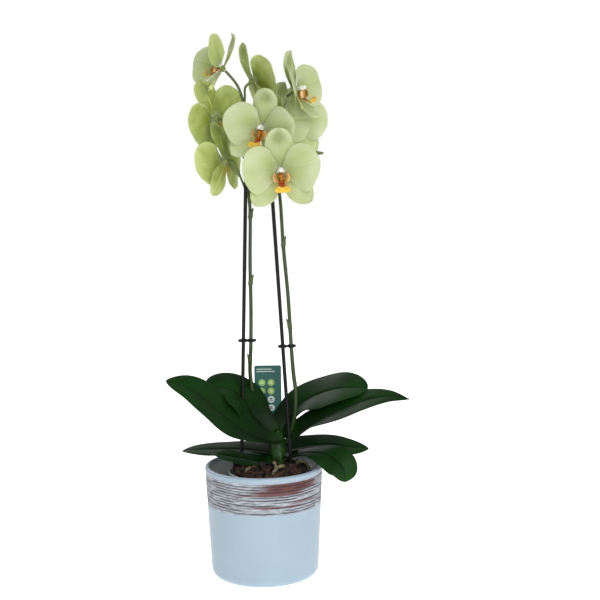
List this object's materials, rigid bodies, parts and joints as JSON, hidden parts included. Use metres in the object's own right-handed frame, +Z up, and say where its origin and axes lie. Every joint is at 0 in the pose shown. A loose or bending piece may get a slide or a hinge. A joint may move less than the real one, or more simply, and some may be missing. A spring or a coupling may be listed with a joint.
{
  "type": "potted orchid",
  "caption": "Moth orchid with pale yellow-green blooms on staked flower spikes, strap leaves, bark and a care label in a round glazed ceramic cover pot.",
  "frame": {"origin": "centre of the cover pot's flat underside, on the surface it stands on", "axes": "+Z up along the cover pot's axis, -Y towards the side that the blooms face, +X to the right as seen from that side"},
  "size_m": [0.2746, 0.1372, 0.6219],
  "materials": {
    "glaze": "pale blue-white gloss glaze with combed scratches in its upper band",
    "clear_plastic": "greenish clear nursery pot, seen only from above",
    "bark": "dark red-brown coarse bark, dull",
    "root": "living aerial root, beige and dull",
    "crown_green": "living stem, bright green, satin",
    "leaf_green": "living leaf, deep green, leathery with a soft gloss",
    "spike_green": "living flower stem, brownish green, satin",
    "stake_black": "black coated stake and black clips, satin",
    "label_card": "printed teal plastic card, satin",
    "tepals": "living tepal, pale yellow-green, soft and slightly translucent",
    "lip": "living lip, orange-red with a yellow bar, waxy",
    "column": "living column, creamy white, waxy"
  },
  "bodies": {
    "root": {"cover_pot": "glaze", "inner_pot": "clear_plastic", "bark": "bark", "roots": "root", "crown": "crown_green", "leaf_1": "leaf_green", "leaf_2": "leaf_green", "leaf_3": "leaf_green", "leaf_4": "leaf_green", "leaf_5": "leaf_green", "leaf_6": "leaf_green", "leaf_7": "leaf_green", "leaf_8": "leaf_green", "left_spike": "spike_green", "right_spike": "spike_green", "left_stake": "stake_black", "right_stake": "stake_black", "left_clip_low": "stake_black", "left_clip_high": "stake_black", "right_clip_low": "stake_black", "right_clip_high": "stake_black", "care_label": "label_card", "right_bloom_1_tepals": "tepals", "right_bloom_1_lip": "lip", "right_bloom_1_column": "column", "left_bloom_2_tepals": "tepals", "left_bloom_2_lip": "lip", "left_bloom_2_column": "column", "left_bloom_5_tepals": "tepals", "left_bloom_5_lip": "lip", "left_bloom_5_column": "column", "left_bloom_3_tepals": "tepals", "left_bloom_3_lip": "lip", "left_bloom_3_column": "column", "left_bloom_1_tepals": "tepals", "left_bloom_1_lip": "lip", "left_bloom_1_column": "column", "left_bloom_4_tepals": "tepals", "left_bloom_4_lip": "lip", "left_bloom_4_column": "column", "right_bloom_4_tepals": "tepals", "right_bloom_4_lip": "lip", "right_bloom_4_column": "column", "right_bloom_2_tepals": "tepals", "right_bloom_2_lip": "lip", "right_bloom_2_column": "column", "right_bloom_3_tepals": "tepals", "right_bloom_3_lip": "lip", "right_bloom_3_column": "column"}
  },
  "joints": []
}
